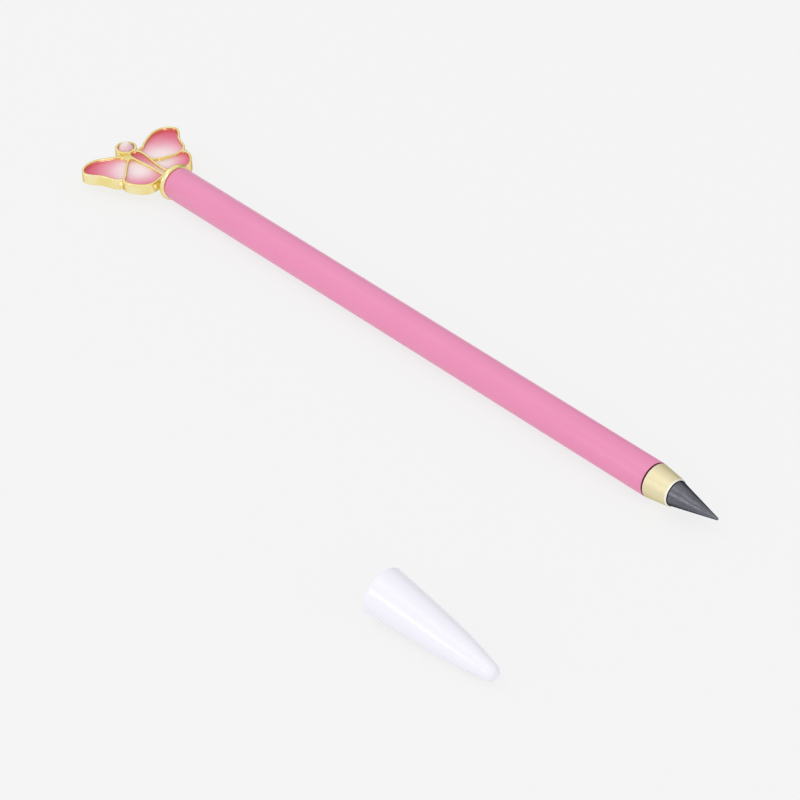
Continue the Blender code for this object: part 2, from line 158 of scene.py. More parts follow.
def add_node(material, kind, inputs=None, stops=(), **settings):
    """Adds a node with its settings.

    An input is given a value, or another node's output to be linked to. A colour ramp also takes its
    stops, each as (place, colour), with the colour in sRGB hex or as linear RGBA.
    """
    node = material.node_tree.nodes.new(kind)
    for name, value in settings.items():
        setattr(node, name, value)
    for name, value in (inputs or {}).items():
        if isinstance(value, bpy.types.NodeSocket):
            material.node_tree.links.new(value, node.inputs[name])
        else:
            node.inputs[name].default_value = value
    while stops and len(node.color_ramp.elements) < len(stops):
        node.color_ramp.elements.new(0.5)
    for number, (place, colour) in enumerate(stops):
        node.color_ramp.elements[number].position = place
        node.color_ramp.elements[number].color = linear(colour) if isinstance(colour, str) else colour
    return node


def start_material(name, **values):
    """A new material whose shader sockets are set by name, with _ for each space. It returns both."""
    material = bpy.data.materials.new(name)
    material.use_nodes = True
    shader = material.node_tree.nodes["Principled BSDF"]
    for key, value in values.items():
        shader.inputs[key.replace("_", " ")].default_value = value
    return material, shader


def feed(material, shader, **links):
    """Links outputs into the shader's sockets, which are named with _ for each space."""
    for key, output in links.items():
        material.node_tree.links.new(output, shader.inputs[key.replace("_", " ")])


def put_on(piece, material, body, node):
    """Gives a finished piece its material, its body and the node that it stands for."""
    piece.data.materials.clear()
    piece.data.materials.append(material)
    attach(piece, body)
    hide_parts(node)


barrel_stations = [
    (0, BARREL_RADIUS - BARREL_WALL),
    (0, BARREL_RADIUS - PAINT_EDGE),
    (-PAINT_BEND, BARREL_RADIUS - PAINT_BEND),
    (-PAINT_EDGE, BARREL_RADIUS),
    (-BARREL_LENGTH * 0.25, BARREL_RADIUS),
    (-BARREL_LENGTH * 0.5, BARREL_RADIUS),
    (-BARREL_LENGTH * 0.75, BARREL_RADIUS),
    (-BARREL_LENGTH + PAINT_EDGE, BARREL_RADIUS),
    (-BARREL_LENGTH + PAINT_BEND, BARREL_RADIUS - PAINT_BEND),
    (-BARREL_LENGTH, BARREL_RADIUS - PAINT_EDGE),
    (-BARREL_LENGTH, BARREL_RADIUS - BARREL_WALL),
    (0, BARREL_RADIUS - BARREL_WALL),
]
barrel = turned("painted_barrel", barrel_stations, PENCIL_FRONT)
round_edges(barrel, 0.03 * MM, 2)

# Satin enamel paint, sprayed and stoved: one even pink with a broad soft sheen. Its orange peel, about
# 0.9 mm from bump to bump, only softens the sheen's edge. The front face is painted dark red-brown, a
# painted shade for the gap at the ferrule.
paint, paint_shader = start_material("satin_pink_enamel_paint", Roughness=0.36, IOR=1.5)
paint_at = add_node(paint, "ShaderNodeTexCoord").outputs["Object"]  # each point's place on its piece
paint_cloud = add_node(paint, "ShaderNodeTexNoise", {"Vector": paint_at, "Scale": 90.0, "Detail": 2.0})
paint_axes = add_node(paint, "ShaderNodeSeparateXYZ", {"Vector": paint_at})
# Painted shade: the front face, in the gap at the ferrule, takes the ramp's dark red-brown first stop.
paint_unshaded = add_node(
    paint,
    "ShaderNodeMath",
    {0: paint_axes.outputs["X"], 1: barrel_high.x - FRONT_SHADE_EDGE},
    operation="LESS_THAN",
)
paint_share = add_node(
    paint,
    "ShaderNodeMath",
    {0: paint_cloud.outputs["Fac"], 1: paint_unshaded.outputs["Value"]},
    operation="MULTIPLY",
)
paint_colour = add_node(
    paint,
    "ShaderNodeValToRGB",
    {"Fac": paint_share.outputs["Value"]},
    ((0.0, "8E4A58"), (0.1, "E98BB4"), (0.7, "EB8EB7")),
)
paint_peel = add_node(paint, "ShaderNodeTexNoise", {"Vector": paint_at, "Scale": 1100.0, "Detail": 1.0})
paint_bump = add_node(
    paint, "ShaderNodeBump", {"Height": paint_peel.outputs["Fac"], "Strength": 0.12, "Distance": 0.02 * MM}
)
feed(paint, paint_shader, Base_Color=paint_colour.outputs["Color"], Normal=paint_bump.outputs["Normal"])
put_on(barrel, paint, "pencil", "barrel")

# ---------------------------------------------------------------------------
# Bush and plug: two brass sleeves, turned from rod and pressed into the barrel's ends. The bush takes the
# nib head's thread, and the plug takes the charm's stem. Both solids have their right shape.
# ---------------------------------------------------------------------------

WAVE_STEP = 0.31  # a wave texture's bands are this far apart, over its scale

# Turned brass, left raw inside the barrel: dull yellow with the tool's fine rings, 0.12 mm apart.
brass, brass_shader = start_material("turned_brass", Metallic=1.0, Roughness=0.34)
brass_at = add_node(brass, "ShaderNodeTexCoord").outputs["Object"]
brass_rings = add_node(
    brass,
    "ShaderNodeTexWave",
    {"Vector": brass_at, "Scale": WAVE_STEP / (0.12 * MM), "Distortion": 0.6},
    bands_direction="X",
)
brass_colour = add_node(
    brass, "ShaderNodeValToRGB", {"Fac": brass_rings.outputs["Fac"]}, ((0.0, "C7A458"), (1.0, "D6B66C"))
)
brass_bump = add_node(
    brass, "ShaderNodeBump", {"Height": brass_rings.outputs["Fac"], "Strength": 0.2, "Distance": 0.01 * MM}
)
feed(brass, brass_shader, Base_Color=brass_colour.outputs["Color"], Normal=brass_bump.outputs["Normal"])
for sleeve in ("front_bush", "tail_plug"):
    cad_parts[sleeve].material_slots[0].material = brass

# ---------------------------------------------------------------------------
# Stem: a steel stud with a rolled 0.7 mm thread and a plain head. The nib's shank is glued into its head,
# and its thread screws the nib head into the bush.
# ---------------------------------------------------------------------------

SEAT = 0.2 * MM  # the gap between faces that butt together
STEM_RADIUS = 1.8 * MM
STEM_LENGTH = 9.0 * MM
STEM_HEAD_RADIUS = 2.4 * MM
STEM_HEAD_FRONT = 3.2 * MM
SHANK_HOLE_RADIUS = 1.3 * MM
SHANK_HOLE_FLOOR = 0.4 * MM
THREAD_PITCH = 0.7 * MM
THREAD_DEPTH = 0.34 * MM
THREAD_TURNS = 11
THREAD_START = 0.75 * MM  # from the stem's end
THREAD_STEPS = 32  # in each turn
RIDGE_SHARE = 0.72  # the radius round the thread's triangle, as a share of its depth
STEM_END_CHAMFER = (0.3 * MM, 0.25 * MM)  # along and in
NIB_HEAD = Matrix.Translation((barrel_high.x + SEAT, AXIS_Y, AXIS_Z))


def join_solid(piece, tool, operation="UNION"):
    """Joins a tool's solid to a piece, or cuts it out of it, and takes the tool away."""
    only(piece)
    boolean = piece.modifiers.new("join", "BOOLEAN")
    boolean.operation = operation
    boolean.solver = "EXACT"
    boolean.object = tool
    bpy.ops.object.modifier_apply(modifier=boolean.name)
    bpy.data.objects.remove(tool)


stem_core_radius = STEM_RADIUS - THREAD_DEPTH
stem = turned(
    "steel_stem",
    [
        (SHANK_HOLE_FLOOR, 0),
        (SHANK_HOLE_FLOOR, SHANK_HOLE_RADIUS),
        (STEM_HEAD_FRONT, SHANK_HOLE_RADIUS),
        (STEM_HEAD_FRONT, STEM_HEAD_RADIUS),
        (0, STEM_HEAD_RADIUS),
        (0, stem_core_radius),
        (-STEM_LENGTH + STEM_END_CHAMFER[0], stem_core_radius),
        (-STEM_LENGTH, stem_core_radius - STEM_END_CHAMFER[1]),
        (-STEM_LENGTH, 0),
    ],
    Matrix.Identity(4),
    48,
)
round_edges(stem, 0.06 * MM, 2)
bpy.ops.object.select_all(action="DESELECT")
ridge_radius = THREAD_DEPTH * RIDGE_SHARE
bpy.ops.mesh.primitive_circle_add(
    vertices=3,
    radius=ridge_radius,
    location=(-STEM_LENGTH + THREAD_START, 0, STEM_RADIUS - ridge_radius),
    rotation=(math.pi / 2, 0, 0),
)
ridge = start_piece("thread_ridge")
winding = ridge.modifiers.new("winding", "SCREW")
winding.axis = "X"
winding.angle = math.tau
winding.screw_offset = THREAD_PITCH
winding.iterations = THREAD_TURNS
winding.steps = THREAD_STEPS
winding.render_steps = THREAD_STEPS
bpy.ops.object.modifier_apply(modifier=winding.name)
bpy.ops.object.mode_set(mode="EDIT")
bpy.ops.mesh.select_all(action="SELECT")
bpy.ops.mesh.fill_holes(sides=3)
face_outwards()
join_solid(stem, ridge)
smooth(stem)
settle(stem, NIB_HEAD)

# Rolled steel, oiled: a grey metal with a slight streak round the thread.
steel, steel_shader = start_material("rolled_steel", Metallic=1.0)
steel_at = add_node(steel, "ShaderNodeTexCoord").outputs["Object"]
steel_streaks = add_node(steel, "ShaderNodeTexNoise", {"Vector": steel_at, "Scale": 1500.0, "Detail": 3.0})
steel_colour = add_node(
    steel, "ShaderNodeValToRGB", {"Fac": steel_streaks.outputs["Fac"]}, ((0.0, "A6A6A8"), (1.0, "C9C9CB"))
)
steel_gloss = add_node(
    steel, "ShaderNodeMapRange", {"Value": steel_streaks.outputs["Fac"], "To Min": 0.24, "To Max": 0.42}
)
feed(steel, steel_shader, Base_Color=steel_colour.outputs["Color"], Roughness=steel_gloss.outputs["Result"])
put_on(stem, steel, "nib_thread", "threaded_stem")

# ---------------------------------------------------------------------------
# Ferrule: a cone turned from brass and plated pale gold, with a rounded edge at each end, whose
# brightness is a painted highlight. It carries on the barrel's line down to the nib and turns with the nib.
# ---------------------------------------------------------------------------

FERRULE_LENGTH = 6.2 * MM
FERRULE_FRONT_RADIUS = 3.15 * MM
FERRULE_LIP = 0.2 * MM
FERRULE_EDGE = 0.3 * MM
FERRULE_CHAMFER = 0.24 * MM
FRONT_EDGE = ((0.02, 0.18), (0.21, 0.0))  # in mm: back from the front face, and in from the cone
BACK_EDGE = ((0.26, 0.06), (0.12, 0.24), (0.0, 0.26))  # in mm: forward of the back face, and in
HIGHLIGHT_EDGE = 0.36 * MM  # how far each edge is painted near white, a painted highlight
GROOVE_SHADE_WIDTH = 0.16 * MM  # how much of the back edge is painted dark, a painted shade for the groove
SOCKET_FLOOR = 4.2 * MM
WEB_BACK = 3.4 * MM
STEM_HEAD_BORE = 2.5 * MM
ferrule_slope = (BARREL_RADIUS - FERRULE_FRONT_RADIUS) / FERRULE_LENGTH
ferrule = turned(
    "turned_ferrule",
    [
        (FERRULE_LENGTH, FERRULE_FRONT_RADIUS - FERRULE_LIP),
        *((FERRULE_LENGTH - back * MM, FERRULE_FRONT_RADIUS - inward * MM) for back, inward in FRONT_EDGE),
        (FERRULE_LENGTH - FERRULE_CHAMFER, FERRULE_FRONT_RADIUS + FERRULE_CHAMFER * ferrule_slope),
        (FERRULE_LENGTH / 2, (FERRULE_FRONT_RADIUS + BARREL_RADIUS) / 2),
        (FERRULE_EDGE, BARREL_RADIUS - FERRULE_EDGE * ferrule_slope),
        *((forward * MM, BARREL_RADIUS - inward * MM) for forward, inward in BACK_EDGE),
        (0, STEM_HEAD_BORE),
        (WEB_BACK, STEM_HEAD_BORE),
        (WEB_BACK, SHANK_HOLE_RADIUS),
        (SOCKET_FLOOR, SHANK_HOLE_RADIUS),
        (SOCKET_FLOOR, FERRULE_FRONT_RADIUS - FERRULE_LIP),
        (FERRULE_LENGTH, FERRULE_FRONT_RADIUS - FERRULE_LIP),
    ],
    NIB_HEAD,
)
round_edges(ferrule, 0.03 * MM, 2)

# Satin gold plating over turned brass: pale gold with the lathe's rings, drawn 0.25 mm apart, which is
# coarser than the real 0.1 mm so that they show. Its edges are painted near white, a painted highlight,
# and its back edge is painted dark brown, a painted shade for the groove that it leaves at the barrel.
satin, satin_shader = start_material("satin_gold_plating", Metallic=1.0, Specular_Tint=linear("B4AC84"))
satin_at = add_node(satin, "ShaderNodeTexCoord").outputs["Object"]
satin_rings = add_node(
    satin,
    "ShaderNodeTexWave",
    {"Vector": satin_at, "Scale": WAVE_STEP / (0.25 * MM), "Distortion": 1.5, "Detail": 2.0},
    bands_direction="X",
)
satin_axes = add_node(satin, "ShaderNodeSeparateXYZ", {"Vector": satin_at})
ferrule_back = barrel_high.x + SEAT
ferrule_half = FERRULE_LENGTH / 2
satin_middle = add_node(
    satin,
    "ShaderNodeMath",
    {0: satin_axes.outputs["X"], 1: ferrule_back + ferrule_half, 2: ferrule_half - HIGHLIGHT_EDGE},
    operation="COMPARE",
)
# Painted highlight: near each end of the ferrule the colour is lifted to near white.
satin_painted_highlight = add_node(
    satin, "ShaderNodeMath", {0: 1.0, 1: satin_middle.outputs["Value"]}, operation="SUBTRACT"
)
satin_ringed = satin_rings.outputs["Fac"]
satin_ring_tone = add_node(satin, "ShaderNodeMapRange", {"Value": satin_ringed, "To Min": 0.2, "To Max": 0.8})
satin_highlighted = add_node(
    satin,
    "ShaderNodeMath",
    {0: satin_ring_tone.outputs["Result"], 1: satin_painted_highlight.outputs["Value"]},
    operation="MAXIMUM",
)
# Painted shade: the back edge, by the barrel, is coloured dark brown.
satin_unshaded = add_node(
    satin,
    "ShaderNodeMath",
    {0: satin_axes.outputs["X"], 1: ferrule_back + GROOVE_SHADE_WIDTH},
    operation="GREATER_THAN",
)
satin_share = add_node(
    satin,
    "ShaderNodeMath",
    {0: satin_highlighted.outputs["Value"], 1: satin_unshaded.outputs["Value"]},
    operation="MULTIPLY",
)
# The first stop is the painted shade in the groove, the last the painted highlight on the edges.
satin_colour = add_node(
    satin,
    "ShaderNodeValToRGB",
    {"Fac": satin_share.outputs["Value"]},
    ((0.0, "8A5C3C"), (0.2, "EEE3BC"), (0.8, "F2E8C4"), (1.0, "FFFCF0")),
)
satin_gloss = add_node(satin, "ShaderNodeMapRange", {"Value": satin_ringed, "To Min": 0.5, "To Max": 0.58})
satin_bump = add_node(
    satin, "ShaderNodeBump", {"Height": satin_ringed, "Strength": 0.05, "Distance": 0.01 * MM}
)
feed(
    satin,
    satin_shader,
    Base_Color=satin_colour.outputs["Color"],
    Roughness=satin_gloss.outputs["Result"],
    Normal=satin_bump.outputs["Normal"],
)
put_on(ferrule, satin, "nib_head", "ferrule")

# ---------------------------------------------------------------------------
# Nib: a solid cone of graphite alloy that writes by wearing down. It is pressed and ground to a point,
# and its shank is glued through the ferrule into the stem's head.
# ---------------------------------------------------------------------------

NIB_BASE_RADIUS = 2.85 * MM
NIB_LENGTH = 11.9 * MM
NIB_SHOULDER = 1.6 * MM
NIB_GROOVE = 0.15 * MM
# How far the nib's base is painted near black, a painted shade where it leaves the ferrule
NIB_SHADED_BASE = 0.22 * MM
NIB_TIP_RADIUS = 0.3 * MM
SHANK_RADIUS = 1.2 * MM
SHANK_LENGTH = 3.8 * MM
nib_slope = math.atan2(NIB_BASE_RADIUS - NIB_TIP_RADIUS, NIB_LENGTH)
nib_stations = [(FERRULE_LENGTH + NIB_LENGTH, 0)]
for step in range(2, 13):
    angle = (math.pi / 2 - nib_slope) * step / 12
    forward = FERRULE_LENGTH + NIB_LENGTH - NIB_TIP_RADIUS + NIB_TIP_RADIUS * math.cos(angle)
    nib_stations.append((forward, NIB_TIP_RADIUS * math.sin(angle)))
for step in range(9):
    angle = nib_slope * (1 - step / 8)
    forward = FERRULE_LENGTH + NIB_SHOULDER * math.sin(angle)
    nib_stations.append((forward, NIB_BASE_RADIUS - NIB_SHOULDER * (1 - math.cos(angle))))
nib_stations += [
    (FERRULE_LENGTH - 0.05 * MM, NIB_BASE_RADIUS - NIB_GROOVE),
    (SOCKET_FLOOR + SEAT, NIB_BASE_RADIUS - NIB_GROOVE),
    (SOCKET_FLOOR + SEAT, SHANK_RADIUS),
    (SOCKET_FLOOR + SEAT - SHANK_LENGTH, SHANK_RADIUS),
    (SOCKET_FLOOR + SEAT - SHANK_LENGTH, 0),
]
nib = turned("graphite_nib", nib_stations, NIB_HEAD)
smooth(nib)

# Graphite alloy, pressed and ground: dark grey with a dull metal sheen that falls off at its edges, mottled
# by its grain and drawn into faint streaks along the cone by the grinding. The grain is drawn 0.3 mm
# across, so that it shows. A thin band at its base, where it leaves the ferrule, is painted near black, a
# painted shade.
graphite, graphite_shader = start_material(
    "ground_graphite_alloy", Metallic=1.0, Specular_Tint=linear("6E6E74")
)
graphite_at = add_node(graphite, "ShaderNodeTexCoord").outputs["Object"]
graphite_grain = add_node(
    graphite,
    "ShaderNodeTexNoise",
    {"Vector": graphite_at, "Scale": 2600.0, "Detail": 4.0, "Roughness": 0.65},
)
graphite_along = add_node(graphite, "ShaderNodeMapping", {"Vector": graphite_at, "Scale": (0.2, 1.0, 1.0)})
graphite_streaks = add_node(
    graphite,
    "ShaderNodeTexNoise",
    {"Vector": graphite_along.outputs["Vector"], "Scale": 1800.0, "Detail": 3.0},
)
graphite_mix = add_node(
    graphite,
    "ShaderNodeMath",
    {0: graphite_grain.outputs["Fac"], 1: graphite_streaks.outputs["Fac"]},
    operation="MULTIPLY",
)
graphite_axes = add_node(graphite, "ShaderNodeSeparateXYZ", {"Vector": graphite_at})
# Painted shade: the base of the nib takes the ramp's near-black first stop.
graphite_unshaded = add_node(
    graphite,
    "ShaderNodeMath",
    {0: graphite_axes.outputs["X"], 1: ferrule_back + FERRULE_LENGTH + NIB_SHADED_BASE},
    operation="GREATER_THAN",
)
graphite_share = add_node(
    graphite,
    "ShaderNodeMath",
    {0: graphite_mix.outputs["Value"], 1: graphite_unshaded.outputs["Value"]},
    operation="MULTIPLY",
)
graphite_colour = add_node(
    graphite,
    "ShaderNodeValToRGB",
    {"Fac": graphite_share.outputs["Value"]},
    ((0.0, "26262C"), (0.05, "5C5C64"), (0.4, "7A7A82")),
)
graphite_gloss = add_node(
    graphite,
    "ShaderNodeMapRange",
    {"Value": graphite_streaks.outputs["Fac"], "To Min": 0.29, "To Max": 0.36},
)
graphite_bump = add_node(
    graphite,
    "ShaderNodeBump",
    {"Height": graphite_mix.outputs["Value"], "Strength": 0.08, "Distance": 0.02 * MM},
)
feed(
    graphite,
    graphite_shader,
    Base_Color=graphite_colour.outputs["Color"],
    Roughness=graphite_gloss.outputs["Result"],
    Normal=graphite_bump.outputs["Normal"],
)
put_on(nib, graphite, "nib_head", "nib")

# ---------------------------------------------------------------------------
# Collar: a half-round bead ring, turned from brass, polished and gold plated. The charm's stem runs
# through it and clamps it against the barrel's tail.
# ---------------------------------------------------------------------------

collar_low, collar_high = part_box("collar")
COLLAR_RADIUS = 4.5 * MM
COLLAR_FACE_RADIUS = 3.5 * MM
COLLAR_BORE = 1.1 * MM
collar_width = collar_high.x - collar_low.x
collar_stations = [(collar_width, COLLAR_BORE)]
for step in range(25):
    angle = math.pi * step / 24
    bulge = (COLLAR_RADIUS - COLLAR_FACE_RADIUS) * math.sin(angle)
    collar_stations.append((collar_width / 2 * (1 + math.cos(angle)), COLLAR_FACE_RADIUS + bulge))
collar_stations += [(0, COLLAR_BORE), (collar_width, COLLAR_BORE)]
collar = turned("gold_collar", collar_stations, Matrix.Translation((collar_low.x, AXIS_Y, AXIS_Z)))
smooth(collar)

# Polished gold plating over cast or turned metal: bright pale gold. The hand polish leaves low waves,
# about 1.5 mm apart, that break up what it reflects.
gold, gold_shader = start_material("polished_gold_plating", Metallic=1.0, Specular_Tint=linear("DDB277"))
gold_at = add_node(gold, "ShaderNodeTexCoord").outputs["Object"]
gold_waves = add_node(gold, "ShaderNodeTexNoise", {"Vector": gold_at, "Scale": 320.0, "Detail": 1.0})
gold_colour = add_node(
    gold, "ShaderNodeValToRGB", {"Fac": gold_waves.outputs["Fac"]}, ((0.35, "F8E598"), (0.65, "FDF0BC"))
)
gold_gloss = add_node(
    gold, "ShaderNodeMapRange", {"Value": gold_waves.outputs["Fac"], "To Min": 0.16, "To Max": 0.24}
)
gold_bump = add_node(
    gold, "ShaderNodeBump", {"Height": gold_waves.outputs["Fac"], "Strength": 0.16, "Distance": 0.05 * MM}
)
feed(
    gold,
    gold_shader,
    Base_Color=gold_colour.outputs["Color"],
    Roughness=gold_gloss.outputs["Result"],
    Normal=gold_bump.outputs["Normal"],
)
put_on(collar, gold, "pencil", "collar")

# ---------------------------------------------------------------------------
# Butterfly: one zinc casting, gold plated. A flat back plate carries upright rims and ribs with rounded
# tops, which bound five cells. A setting, four beads, a neck and a stem are cast on.
# ---------------------------------------------------------------------------

CHARM_TILT = math.radians(2.5)
NECK_LENGTH = 0.8 * MM
NECK_ROOT = 1.5 * MM  # how far the neck runs on into the casting
NECK_RADIUS = 1.4 * MM
CHARM_STEM_RADIUS = 1.0 * MM
CHARM_STEM_LENGTH = 10.0 * MM
charm_end = (collar_low.x - SEAT - NECK_LENGTH, AXIS_Y, AXIS_Z)
CHARM = Matrix.Translation(charm_end) @ Matrix.Rotation(CHARM_TILT, 4, "X")
RIM_WIDTH = 0.55 * MM
RIM_ROUNDING = 0.13 * MM
CHARM_TOP = 1.1 * MM
CHARM_BACK = -1.6 * MM
PLATE_TOP = -0.6 * MM
ENAMEL_TOP = 0.3 * MM
CELL_CORNER = 0.7 * MM

# The middle of each rim, in mm: from the tail end towards the head, and out from the middle
FOREWING_EDGE = (
    (14.24, 3.13),
    (15.27, 4.57),
    (16.41, 6.53),
    (17.22, 8.24),
    (17.53, 9.90),
    (17.25, 11.55),
    (16.16, 13.20),
    (14.65, 13.83),
    (12.85, 13.02),
    (11.30, 11.80),
    (9.60, 11.05),
    (8.00, 10.55),
    (7.00, 9.81),
)
NOTCH = (6.30, 9.00)
HINDWING_EDGE = (
    (5.10, 9.20),
    (3.90, 9.00),
    (2.31, 8.13),
    (1.10, 7.00),
    (0.40, 5.75),
    (0.28, 4.60),
    (0.50, 3.20),
)
BODY_SIDE = (
    (13.96, 0.94),
    (13.06, 1.40),
    (11.54, 1.50),
    (9.24, 1.25),
    (7.24, 1.00),
    (5.23, 0.85),
    (3.22, 0.80),
    (1.31, 0.85),
)
BODY_HEAD = (14.47, 0)
BODY_TAIL = (0.80, 0)
NEAR_RIB = (12.35, (11.95, 2.90), (10.50, 4.55), (8.90, 6.15), (7.30, 7.60))
FAR_RIB = (8.60, (7.40, 2.90), (6.75, 4.90), (6.30, 6.90))
CURVE_STEPS = 8  # from each of these points to the next
CORNER_STEPS = 6


def curve_through(points):
    """A smooth open curve through the points, as a list of points on it."""
    padded = [points[0], *points, points[-1]]
    made = []
    for before, start, end, after in zip(padded, padded[1:], padded[2:], padded[3:]):
        for step in range(CURVE_STEPS):
            t = step / CURVE_STEPS
            made.append(
                tuple(
                    b + 0.5 * t * (c - a + t * (2 * a - 5 * b + 4 * c - d + t * (3 * (b - c) + d - a)))
                    for a, b, c, d in zip(before, start, end, after)
                )
            )
    return [*made, points[-1]]


def area_of(loop):
    """The area in a closed loop, negative where the loop runs clockwise."""
    return sum(a[0] * b[1] - b[0] * a[1] for a, b in zip(loop, [*loop[1:], loop[0]])) / 2


def clearance(point, loop):
    """How far a point is from the nearest place on a closed loop."""
    nearest = math.inf
    for start, end in zip(loop, [*loop[1:], loop[0]]):
        along = (end[0] - start[0], end[1] - start[1])
        share = (point[0] - start[0]) * along[0] + (point[1] - start[1]) * along[1]
        share = min(1, max(0, share / (along[0] ** 2 + along[1] ** 2)))
        foot = (start[0] + share * along[0], start[1] + share * along[1])
        nearest = min(nearest, math.dist(point, foot))
    return nearest


def grown(loop, distance):
    """The closed loop moved outwards, or inwards where the distance is negative, without its folds."""
    side = distance if area_of(loop) > 0 else -distance
    made = []
    for before, here, after in zip([loop[-1], *loop[:-1]], loop, [*loop[1:], loop[0]]):
        back = Vector((here[0] - before[0], here[1] - before[1])).normalized()
        ahead = Vector((after[0] - here[0], after[1] - here[1])).normalized()
        normal = Vector((back.y + ahead.y, -back.x - ahead.x))
        reach = 2 * side / normal.length_squared
        made.append((here[0] + normal.x * reach, here[1] + normal.y * reach))
    return [point for point in made if clearance(point, loop) > 0.99 * abs(distance)]


def softened(loop, corners):
    """The closed loop with a curve in place of what lies near each corner."""
    made = list(loop)
    for corner in corners:
        far = [math.dist(point, corner) > CELL_CORNER for point in made]
        first = next(i for i in range(len(made)) if far[i - 1] and not far[i])
        made = made[first:] + made[:first]
        near = next(i for i, point in enumerate(made) if math.dist(point, corner) > CELL_CORNER)
        ends = list(zip(made[-1], corner, made[near]))
        arc = []
        for step in range(1, CORNER_STEPS + 1):
            t = step / (CORNER_STEPS + 1)
            arc.append(tuple((1 - t) ** 2 * a + 2 * t * (1 - t) * b + t**2 * c for a, b, c in ends))
        made = arc + made[near:]
    return made


def stacked(name, loops, levels):
    """A flat solid with shaped edges: each loop is drawn as a stack of rings, which are then bridged.

    A loop comes with the distance at which its wall stands and the side of it that is solid, -1 for
    inside and 1 for outside. A level is how far the rings lie in the solid and their height.
    """
    bpy.ops.object.select_all(action="DESELECT")
    points = []
    edges = []
    stacks = []
    for loop, wall, solid_side in loops:
        stack = []
        for number, (inset, _) in enumerate(levels):
            ring = grown(loop, wall + solid_side * inset)
            first = len(points)
            stack.append(range(first, first + len(ring)))
            # The rings are bridged well apart and moved to their heights after it, as rings that lie
            # almost in one plane would be joined to their far sides
            points += [(x, y, number * MM) for x, y in ring]
            edges += [(first + i, first + (i + 1) % len(ring)) for i in range(len(ring))]
        stacks.append(stack)
    mesh = bpy.data.meshes.new(name)
    mesh.from_pydata(points, edges, [])
    piece = bpy.data.objects.new(name, mesh)
    bpy.context.scene.collection.objects.link(piece)
    only(piece)

    def pick(*rings):
        """Selects the points of these rings, and nothing else, in edit mode."""
        bpy.ops.object.mode_set(mode="EDIT")
        bpy.ops.mesh.select_mode(type="VERT")
        bpy.ops.mesh.select_all(action="DESELECT")
        bpy.ops.object.mode_set(mode="OBJECT")
        for ring in rings:
            for number in ring:
                piece.data.vertices[number].select = True
        bpy.ops.object.mode_set(mode="EDIT")

    for stack in stacks:
        for below, above in zip(stack, stack[1:]):
            pick(below, above)
            bpy.ops.mesh.bridge_edge_loops()
    for end in (0, -1):
        pick(*(stack[end] for stack in stacks))
        if len(stacks) > 1:
            bpy.ops.mesh.fill(use_beauty=True)
        else:
            bpy.ops.mesh.edge_face_add()
    bpy.ops.object.mode_set(mode="OBJECT")
    for stack in stacks:
        for ring, (_, height) in zip(stack, levels):
            for number in ring:
                piece.data.vertices[number].co.z = height
    bpy.ops.object.mode_set(mode="EDIT")
    face_outwards()
    return piece


def wing_lines(side, rib):
    """The lines that bound one side's two cells, in the charm's own place: x towards the nib."""
    fore_points = (BODY_SIDE[0], *FOREWING_EDGE, NOTCH)
    hind_points = (NOTCH, *HINDWING_EDGE, BODY_SIDE[-1])
    body, forewing, hindwing = (
        [(-x * MM, side * y * MM) for x, y in curve_through(line)]
        for line in (BODY_SIDE, fore_points, hind_points)
    )
    meet = min(range(len(body)), key=lambda i: abs(body[i][0] + rib[0] * MM))
    meet_point = (-body[meet][0] / MM, side * body[meet][1] / MM)
    spoke = [(-x * MM, side * y * MM) for x, y in curve_through((meet_point, *rib[1:], NOTCH))]
    return body, meet, forewing, hindwing, spoke


near_body, near_meet, near_fore, near_hind, near_spoke = wing_lines(-1, NEAR_RIB)
far_body, far_meet, far_fore, far_hind, far_spoke = wing_lines(1, FAR_RIB)
head_end = (-BODY_HEAD[0] * MM, 0)
tail_end = (-BODY_TAIL[0] * MM, 0)
charm_outline = near_fore + near_hind[1:] + [tail_end] + far_hind[::-1] + far_fore[-2::-1] + [head_end]
CELLS = {
    "near_forewing": near_fore[CURVE_STEPS:] + near_spoke[-2 : CURVE_STEPS - 1 : -1],
    "near_hindwing": near_hind + near_body[-2 : near_meet - 1 : -1] + near_spoke[1:-1],
    "far_forewing": far_fore + far_spoke[-2::-1] + far_body[far_meet - 1 : 0 : -1],
    "far_hindwing": far_hind + far_body[-2 : far_meet - 1 : -1] + far_spoke[1:-1],
    "body": near_body + [tail_end] + far_body[::-1] + [head_end],
}
CELL_CORNERS = {
    "near_forewing": (near_fore[CURVE_STEPS], near_fore[-1], near_spoke[CURVE_STEPS]),
    "near_hindwing": (near_hind[0], near_hind[-1], near_spoke[0]),
    "far_forewing": (far_fore[0], far_fore[-1], far_spoke[0]),
    "far_hindwing": (far_hind[0], far_hind[-1], far_spoke[0]),
    "body": (),
}
soft_cells = {name: softened(loop, CELL_CORNERS[name]) for name, loop in CELLS.items()}

rim_levels = []
for step in range(5):
    angle = math.pi / 2 * step / 4
    rise = RIM_ROUNDING * (1 - math.cos(angle))
    rim_levels.append((RIM_ROUNDING * (1 - math.sin(angle)), CHARM_BACK + rise))
for inset, height in rim_levels[::-1]:
    rim_levels.append((inset, CHARM_TOP + CHARM_BACK - height))
butterfly = stacked(
    "cast_butterfly",
    [(charm_outline, RIM_WIDTH / 2, -1), *((loop, -RIM_WIDTH / 2, 1) for loop in soft_cells.values())],
    rim_levels,
)
BACK_STEP = 0.02 * MM  # the plate's back lies this far inside the rims' back
PLATE_INSET = 0.05 * MM  # and its edge this far inside the middle of the rims
back_plate = stacked(
    "back_plate", [(charm_outline, -PLATE_INSET, -1)], [(0, CHARM_BACK + BACK_STEP), (0, PLATE_TOP)]
)
join_solid(butterfly, back_plate)

